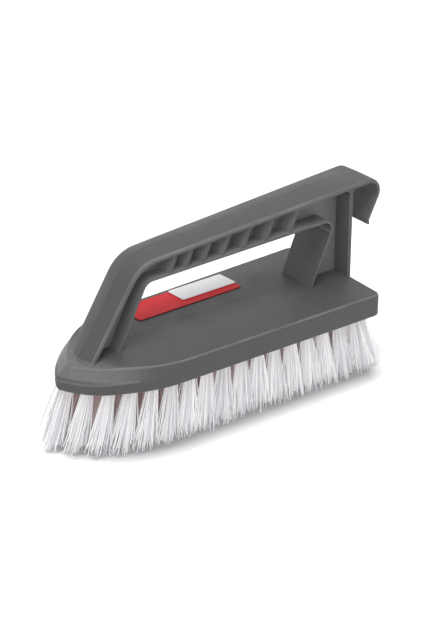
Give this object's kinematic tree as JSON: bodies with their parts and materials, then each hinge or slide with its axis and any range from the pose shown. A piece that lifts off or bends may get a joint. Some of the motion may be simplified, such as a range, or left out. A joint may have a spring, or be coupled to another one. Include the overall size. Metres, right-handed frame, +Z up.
{
  "type": "laundry brush",
  "caption": "Hand scrubbing brush for laundry: boat-nosed block with an arched grip, a down-turned hanging hook and stiff white bristle tufts.",
  "frame": {"origin": "on the surface the bristle tips stand on, at the middle of the whole brush", "axes": "+Z up, -X towards the pointed nose, +X towards the hook, Y across the brush"},
  "size_m": [0.1638, 0.0598, 0.0793],
  "materials": {
    "grey_plastic": "satin moulded polypropylene with a fine spark-eroded grain",
    "white_bristle": "drawn plastic filament",
    "red_label": "plain printed paper label",
    "white_sticker": "plain white paper sticker"
  },
  "bodies": {
    "root": {"brush_body": "grey_plastic", "paper_label": "red_label", "price_sticker": "white_sticker", "outer_tuft_01": "white_bristle", "outer_tuft_02": "white_bristle", "outer_tuft_03": "white_bristle", "outer_tuft_04": "white_bristle", "outer_tuft_05": "white_bristle", "outer_tuft_06": "white_bristle", "outer_tuft_07": "white_bristle", "outer_tuft_08": "white_bristle", "outer_tuft_09": "white_bristle", "outer_tuft_10": "white_bristle", "outer_tuft_11": "white_bristle", "outer_tuft_12": "white_bristle", "outer_tuft_13": "white_bristle", "outer_tuft_14": "white_bristle", "outer_tuft_15": "white_bristle", "outer_tuft_16": "white_bristle", "outer_tuft_17": "white_bristle", "outer_tuft_18": "white_bristle", "outer_tuft_19": "white_bristle", "outer_tuft_20": "white_bristle", "outer_tuft_21": "white_bristle", "outer_tuft_22": "white_bristle", "outer_tuft_23": "white_bristle", "outer_tuft_24": "white_bristle", "outer_tuft_25": "white_bristle", "outer_tuft_26": "white_bristle", "outer_tuft_27": "white_bristle", "outer_tuft_28": "white_bristle", "outer_tuft_29": "white_bristle", "outer_tuft_30": "white_bristle", "outer_tuft_31": "white_bristle", "outer_tuft_32": "white_bristle", "outer_tuft_33": "white_bristle", "outer_tuft_34": "white_bristle", "outer_tuft_35": "white_bristle", "outer_tuft_36": "white_bristle", "outer_tuft_37": "white_bristle", "outer_tuft_38": "white_bristle", "outer_tuft_39": "white_bristle", "inner_tuft_row_01": "white_bristle", "inner_tuft_row_02": "white_bristle", "inner_tuft_row_03": "white_bristle", "inner_tuft_row_04": "white_bristle", "inner_tuft_row_05": "white_bristle", "inner_tuft_row_06": "white_bristle", "inner_tuft_row_07": "white_bristle", "inner_tuft_row_08": "white_bristle", "inner_tuft_row_09": "white_bristle", "inner_tuft_row_10": "white_bristle", "inner_tuft_row_11": "white_bristle", "inner_tuft_row_12": "white_bristle", "inner_tuft_row_13": "white_bristle"}
  },
  "joints": []
}
